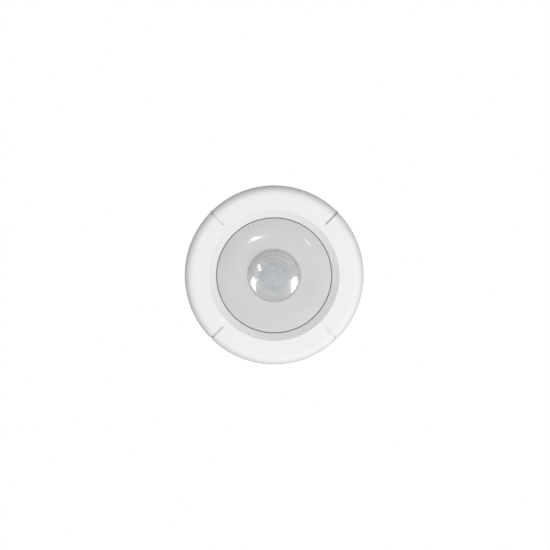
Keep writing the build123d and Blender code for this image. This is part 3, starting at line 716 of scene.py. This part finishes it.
class DETECTOR_OT_base(bpy.types.Operator):
    """Builds the base rim with its bayonet ledges, and the cable grommet, and finishes the base plate"""

    bl_idname = "detector.base"
    bl_label = "Base"

    def execute(self, context):
        sizes, colours = context.scene.detector_sizes, context.scene.detector_colours
        material = textured_abs("base_textured_abs", tuple(colours.base))
        finish_nodes(material, "base_plate")
        outer, low = RIM_HIGH[0], RIM_LOW[2]
        inside = outer - sizes.bezel_wall
        lip = inside - RIM_LIP
        small = sizes.edge_break
        corners = [
            (lip, 0.0, 0.05 * MM),
            (outer, 0.0, 0.8 * MM),
            (outer, low, small),
            (inside, low, small),
            (inside, -RIM_LIP_HEIGHT, 0.05 * MM),
            (lip, -RIM_LIP_HEIGHT, 0.05 * MM),
        ]
        rim = revolved(rounded(corners, 8), 288)
        ledge_low = low + LEDGE_FROM_RIM
        ledge_top = ledge_low + LEDGE_HEIGHT
        reach, root = inside - LEDGE_DEPTH, inside + RIB_ROOT
        overlap = radians(0.4)
        ribs = []
        for middle in LEDGE_ANGLES:
            start, end = middle - LEDGE_HALF_ANGLE, middle + LEDGE_HALF_ANGLE
            stop = end + STOP_ANGLE
            ribs.append(arc_block(reach, root, ledge_low, ledge_top, start, end))
            ribs.append(arc_block(reach, root, ledge_low, ledge_top + STOP_RISE, end - overlap, stop))
        shape = joined(rim, *ribs)
        add_piece("base_rim_shell", shape, material, "base", ["base_rim"], sharp=50)

        # The grommet's section, with three moulded rings pressed into its back round the hole.
        hole, widest = CABLE_RADIUS, GROMMET_HIGH[0]
        back, floor, tip = GROMMET_HIGH[2], -PLATE_THICKNESS, GROMMET_LOW[2]
        flange_low = floor - GROMMET_FLANGE_THICKNESS
        body = widest - GROMMET_FLANGE
        corners = [
            (hole, back, 0.3 * MM),
            (body, back, 0.2 * MM),
            (body, floor, 0.05 * MM),
            (widest, floor, 0.2 * MM),
            (widest, flange_low, 0.3 * MM),
            (hole + 2.0 * MM, flange_low, 0.3 * MM),
            (hole + 1.0 * MM, tip, 0.3 * MM),
            (hole, tip, 0.2 * MM),
        ]
        outline = subdivided(rounded(corners, 6), 0.12 * MM)
        rings, ring_depth, margin = 3, 0.25 * MM, 0.08
        share = (outline[:, 0] - hole) / (body - hole)
        on_back = (outline[:, 1] > back - 0.01 * MM) & (share > margin) & (share < 1 - margin)
        phase = 2 * pi * rings * (share - margin) / (1 - 2 * margin)
        outline[:, 1] -= on_back * ring_depth * (0.5 - 0.5 * np.cos(phase))
        shape = revolved(outline, 96)
        rubber = nitrile_rubber("moulded_nitrile_rubber", linear("#232324"))
        add_piece("grommet_shell", shape, rubber, "base", ["cable_grommet"], sharp=50)

        brass = plated_metal("rolled_brass", linear("#C9A35A"), 0.25, (1.0, 6.0, 1.0))
        finish_nodes(brass, "terminal_contacts", "contact_studs")
        return {"FINISHED"}


class DETECTOR_OT_board(bpy.types.Operator):
    """Finishes the circuit board and its parts, and adds the solder joints"""

    bl_idname = "detector.board"
    bl_label = "Circuit board"

    def execute(self, context):
        green = solder_mask("green_solder_mask", tuple(context.scene.detector_colours.board))
        finish_nodes(green, "circuit_board")
        black = moulded_epoxy("chip_moulded_epoxy", linear("#26272A"), 0.42)
        finish_nodes(black, "microcontroller", "amplifier_chip")
        tin = plated_metal("tinned_copper", linear("#CFCFCB"), 0.22)
        finish_nodes(tin, "microcontroller_pins", "amplifier_pins", "sensor_leads")
        finish_nodes(moulded_epoxy("relay_moulded_pbt", linear("#2B58A0"), 0.3), "relay")
        finish_nodes(moulded_epoxy("film_moulded_polyester", linear("#B5452F"), 0.25), "film_capacitor")
        finish_nodes(moulded_epoxy("varistor_dipped_epoxy", linear("#D08A2A"), 0.18, 0.9), "varistor")
        finish_nodes(moulded_epoxy("thermistor_dipped_epoxy", linear("#34343A"), 0.12, 0.9), "thermistor")
        finish_nodes(moulded_epoxy("led_cast_epoxy", linear("#C23A2C"), 0.06, 1.2, 0.4), "status_led")
        finish_nodes(moulded_epoxy("trimmer_moulded_pbt", linear("#2A5FB4"), 0.3), "trimmers")
        drawn = plated_metal("drawn_aluminium", linear("#C9CBCE"), 0.25, (1.0, 1.0, 0.1))
        finish_nodes(drawn, "storage_capacitors")

        # A solder joint's profile is a concave cone: its radius falls off as the square of the height left.
        height = np.linspace(0, 1, 9)
        radius = np.concatenate([[0], (0.25 + 0.75 * (1 - height) ** 2) * SOLDER_RADIUS, [0]])
        level = BOARD_HIGH[2] + np.concatenate([[0], height, [1]]) * SOLDER_HEIGHT
        turn = np.linspace(0, 2 * pi, 20, endpoint=False)
        cone = carried(radius[:, None], level[:, None], turn)
        faces = grid_faces(len(radius), len(turn), wrap_rows=False)
        joints = [((cone + place).reshape(-1, 3), faces) for place in carried(LEAD_CIRCLE, 0.0, LEAD_ANGLES)]
        solder = plated_metal("reflowed_solder", linear("#C4C6C8"), 0.18)
        add_piece("solder_joints", joined(*joints), solder, "head")
        return {"FINISHED"}


class DETECTOR_OT_sensor(bpy.types.Operator):
    """Finishes the pyroelectric sensor: its can, window and spacer"""

    bl_idname = "detector.sensor"
    bl_label = "Sensor"

    def execute(self, context):
        finish_nodes(plated_metal("nickel_plated_can", linear("#C8C4B8"), 0.2, (1.0, 1.0, 0.2)), "sensor_can")
        finish_nodes(coated_silicon("coated_silicon", linear("#20222E")), "sensor_window")
        finish_nodes(moulded_epoxy("spacer_moulded_nylon", linear("#D9D2B8"), 0.4), "sensor_spacer")
        return {"FINISHED"}


# ---------------------------------------------------------------- stage
ROOM_HEIGHT = 2.4
CAMERA_DISTANCE = 1.5
CAMERA_TILT = radians(3.0)  # the camera stands a little off the detector's axis, towards +Y
CAMERA_TARGET = Vector((-0.0005, 0.0004, BEZEL_LOW[2]))
CAMERA_PLACE = CAMERA_TARGET + CAMERA_DISTANCE * Vector((0.0, sin(CAMERA_TILT), -cos(CAMERA_TILT)))
FRAME_WIDTH = 0.3248  # of what the camera sees at the bezel's face
LOWER_RIGHT = Vector((-0.66, -0.75, 0.0))  # as the camera sees it
LENS_MIDDLE = Vector((0.0, 0.0, -0.033))
KEY_TILT, KEY_DISTANCE = radians(58), 1.2
WINDOW_DISTANCE = 1.0
MOST_FRONT, MOST_ABOVE = 0.99, 1.7  # how bright the studio is straight below and straight above the detector
SIDE_LIGHT, EVEN_LIGHT = 0.13, 0.16


def aimed(location, roll):
    """The rotation that points an object's -Z from location to the lens, rolled by degrees about that."""
    turn = Quaternion((0.0, 0.0, 1.0), radians(roll))
    return ((LENS_MIDDLE - Vector(location)).to_track_quat("-Z", "Y") @ turn).to_euler()


def add_lamp(name, location, size, power, roll=0.0):
    """A soft rectangular lamp aimed at the lens, and turned about that line by roll degrees."""
    light = bpy.data.lights.new(name, "AREA")
    light.shape = "RECTANGLE"
    light.size, light.size_y = size
    light.energy = power
    lamp = bpy.data.objects.new(name, light)
    lamp.location = location
    lamp.rotation_euler = aimed(lamp.location, roll)
    lamp.visible_camera = False
    bpy.context.scene.collection.objects.link(lamp)
    return lamp


def shine_on(lamp, piece, state="INCLUDE"):
    """Links a lamp to one piece: it shines on that piece alone, or with EXCLUDE on everything else."""
    receivers = bpy.data.collections.new(lamp.name + "_receivers")
    receivers.objects.link(piece)
    lamp.light_linking.receiver_collection = receivers
    receivers.collection_objects[0].light_linking.link_state = state


def mirrored(x, y, slope):
    """Where a window lamp must stand for the camera to see it mirrored at x, y on the face or the lens.

    The normal leans out from the axis by the surface's slope. The lamp's direction is the view turned over
    about the normal: twice the normal's share of the view, less the view.
    """
    point = Vector((x, y, LENS_MIDDLE.z))
    lean = slope / sqrt(x**2 + y**2)
    normal = Vector((x * lean, y * lean, -1.0)).normalized()
    view = (CAMERA_PLACE - point).normalized()
    return point + (2 * normal.dot(view) * normal - view) * WINDOW_DISTANCE


def lens_slope(x, y):
    """The slope of the lens's ball there: the distance out over the height from the ball's middle."""
    radius = LENS_HIGH[0] - LENS_FLANGE
    rise = LENS_HIGH[2] - LENS_NECK - LENS_LOW[2]
    ball = (radius**2 + rise**2) / (2 * rise)
    out = x**2 + y**2
    return sqrt(out / (ball**2 - out))


def face_slope(x, y):
    """The slope of the face there: none at its crest, growing ever faster to its steepest at the seam."""
    return FACE_EDGE_SLOPE * ((sqrt(x**2 + y**2) - FACE_CREST) / (FACE_EDGE - FACE_CREST)) ** 1.3


class DETECTOR_OT_stage(bpy.types.Operator):
    """Sets the pale floor, the soft studio light and the camera below the ceiling"""

    bl_idname = "detector.stage"
    bl_label = "Stage"

    def execute(self, context):
        scene = context.scene
        scene.view_settings.view_transform = "Standard"

        floor_mesh = bpy.data.meshes.new("floor")
        half = 6.0
        corners = [(-half, -half), (half, -half), (half, half), (-half, half)]
        floor_mesh.from_pydata([(x, y, -ROOM_HEIGHT) for x, y in corners], [], [(0, 1, 2, 3)])
        material, tree, shader = new_material("pale_painted_floor")
        paint = mottled(tree, 300, linear("#EFEFEF"), linear("#F4F4F4"))
        feed(shader, {"Base Color": paint, "Roughness": 0.7})
        floor_mesh.materials.append(material)
        floor = bpy.data.objects.new("floor", floor_mesh)
        floor.visible_diffuse = False
        floor.visible_glossy = False
        floor.visible_transmission = False
        floor.visible_shadow = False
        scene.collection.objects.link(floor)

        # The studio: bright in front of the face, dim at the sides, bright above, and brighter to the lower
        # right. Mirrored at a glancing angle the ceiling side is dark, which keeps the bezel's outline crisp.
        world = bpy.data.worlds.new("studio")
        world.use_nodes = True
        scene.world = world
        tree = world.node_tree
        tree.nodes.clear()
        place = add(tree, "ShaderNodeTexCoord", "Generated")
        height = add(tree, "ShaderNodeSeparateXYZ", "Z", {"Vector": place})
        glossy = add(tree, "ShaderNodeLightPath", "Is Glossy Ray")
        seen = add(tree, "ShaderNodeLightPath", "Is Camera Ray")
        inputs = {"Value": height, "From Min": -1.0, "From Max": 0.05, "To Min": MOST_FRONT, "To Max": 0.0}
        front = add(tree, "ShaderNodeMapRange", "Result", inputs)
        inputs = {"Value": height, "From Min": 0.55, "From Max": 0.95, "To Min": 0.0, "To Max": MOST_ABOVE}
        above = add(tree, "ShaderNodeMapRange", "Result", inputs)
        side = add(tree, "ShaderNodeVectorMath", "Value", {0: place, 1: LOWER_RIGHT}, operation="DOT_PRODUCT")
        matt = add(tree, "ShaderNodeMath", "Value", {0: 1.0, 1: glossy}, operation="SUBTRACT")
        total = add(tree, "ShaderNodeMath", "Value", {0: above, 1: matt, 2: front}, operation="MULTIPLY_ADD")
        inputs = {0: side, 1: SIDE_LIGHT, 2: total}
        total = add(tree, "ShaderNodeMath", "Value", inputs, operation="MULTIPLY_ADD")
        total = add(tree, "ShaderNodeMath", "Value", {0: total, 1: EVEN_LIGHT}, operation="ADD")
        lit = add(tree, "ShaderNodeBackground", "Background", {"Color": WHITE, "Strength": total})
        plain = add(tree, "ShaderNodeBackground", "Background", {"Color": WHITE, "Strength": 1.0})
        mix = add(tree, "ShaderNodeMixShader", "Shader", {0: seen, 1: lit, 2: plain})
        feed(tree.nodes.new("ShaderNodeOutputWorld"), {"Surface": mix})

        # The key lamp comes from the lower right.
        lens, face = bpy.data.objects["lens_shell"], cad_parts["front_housing"]
        straight_down = Vector((0.0, 0.0, -1.0))
        way = LOWER_RIGHT * sin(KEY_TILT) + straight_down * cos(KEY_TILT)
        key_lamp = add_lamp("key", LENS_MIDDLE + KEY_DISTANCE * way, size=(0.45, 0.45), power=3.4)
        key_lamp.visible_glossy = False

        # The milky lens evens its light out, so it gets a frontal fill in place of the key.
        shine_on(key_lamp, lens, "EXCLUDE")
        fill_place = LENS_MIDDLE + KEY_DISTANCE * straight_down
        fill_lamp = add_lamp("lens_fill", fill_place, size=(1.6, 1.6), power=3.2)
        fill_lamp.visible_glossy = False
        shine_on(fill_lamp, lens)

        # Window-shaped highlights on the lens and the face, which add no fill. Each has the place where it
        # shows, its size and power, the piece that mirrors it, and its roll.
        windows = [
            ("left_window", (12.4 * MM, -5.8 * MM), (0.92, 0.30), 9.3, lens, -46),
            ("right_window", (-12.1 * MM, -5.4 * MM), (0.80, 0.42), 10.8, lens, 46),
            ("upper_window", (8.7 * MM, 5.1 * MM), (0.34, 0.14), 1.5, lens, 48),
            ("face_window", (11.6 * MM, 22.2 * MM), (0.025, 0.08), 0.12, face, 0),
            ("face_side_window", (-19.8 * MM, 18.9 * MM), (0.03, 0.06), 0.05, face, 0),
        ]
        for name, place, size, power, piece, roll in windows:
            slope = lens_slope(*place) if piece is lens else face_slope(*place)
            window = add_lamp(name, mirrored(*place, slope), size, power, roll)
            window.visible_diffuse = False
            window.visible_transmission = False
            shine_on(window, piece)

        camera = bpy.data.cameras.new("camera")
        viewer = bpy.data.objects.new("camera", camera)
        viewer.location = CAMERA_PLACE
        viewer.rotation_euler = (CAMERA_TARGET - CAMERA_PLACE).to_track_quat("-Z", "Y").to_euler()
        camera.lens = camera.sensor_width * CAMERA_DISTANCE / FRAME_WIDTH
        camera.clip_end = 50.0
        scene.collection.objects.link(viewer)
        scene.camera = viewer
        return {"FINISHED"}


OPERATORS = (
    DETECTOR_OT_bezel,
    DETECTOR_OT_lens,
    DETECTOR_OT_face,
    DETECTOR_OT_base,
    DETECTOR_OT_board,
    DETECTOR_OT_sensor,
    DETECTOR_OT_stage,
)


class DETECTOR_PT_sidebar(bpy.types.Panel):
    """Lists the detector's sizes, colours and build steps"""

    bl_idname = "DETECTOR_PT_sidebar"
    bl_label = "Detector"
    bl_space_type = "VIEW_3D"
    bl_region_type = "UI"
    bl_category = "Detector"

    def draw(self, context):
        for group in (context.scene.detector_sizes, context.scene.detector_colours):
            box = self.layout.box()
            for key in group.__annotations__:
                box.prop(group, key)
        for operator in OPERATORS:
            self.layout.operator(operator.bl_idname)


CLASSES = (DetectorSizes, DetectorColours, *OPERATORS, DETECTOR_PT_sidebar)


def register():
    for each in CLASSES:
        bpy.utils.register_class(each)
    bpy.types.Scene.detector_sizes = bpy.props.PointerProperty(type=DetectorSizes)
    bpy.types.Scene.detector_colours = bpy.props.PointerProperty(type=DetectorColours)


def unregister():
    del bpy.types.Scene.detector_colours
    del bpy.types.Scene.detector_sizes
    for each in reversed(CLASSES):
        bpy.utils.unregister_class(each)


def main():
    """Builds everything in order."""
    register()
    bpy.ops.detector.bezel()
    bpy.ops.detector.lens()
    bpy.ops.detector.face()
    bpy.ops.detector.base()
    bpy.ops.detector.board()
    bpy.ops.detector.sensor()
    bpy.ops.detector.stage()


if __name__ == "__main__":
    main()
